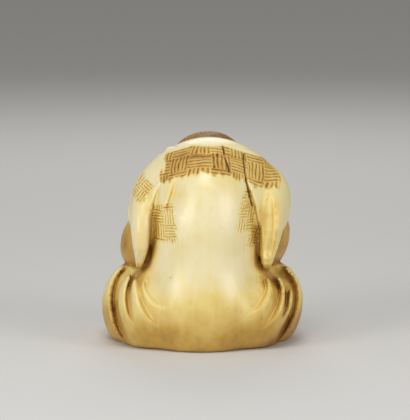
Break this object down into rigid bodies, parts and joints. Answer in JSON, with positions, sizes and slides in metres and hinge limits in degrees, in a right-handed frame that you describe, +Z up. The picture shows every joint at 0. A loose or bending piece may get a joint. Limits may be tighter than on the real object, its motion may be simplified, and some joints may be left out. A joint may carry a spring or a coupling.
{
  "type": "netsuke",
  "caption": "Small ivory netsuke carved as a robed figure asleep over a sack, seated cross-legged, with cord holes in its flat underside.",
  "frame": {"origin": "centre of the outline, on the plane that the netsuke stands on", "axes": "+Z up; the figure faces -Y, so its carved back, with the woven pattern, faces +Y"},
  "size_m": [0.0314, 0.027, 0.0323],
  "materials": {
    "ivory": "polished ivory, honey-coloured, with brown stain in the carved recesses"
  },
  "bodies": {
    "root": {"carved_figure": "ivory"}
  },
  "joints": []
}
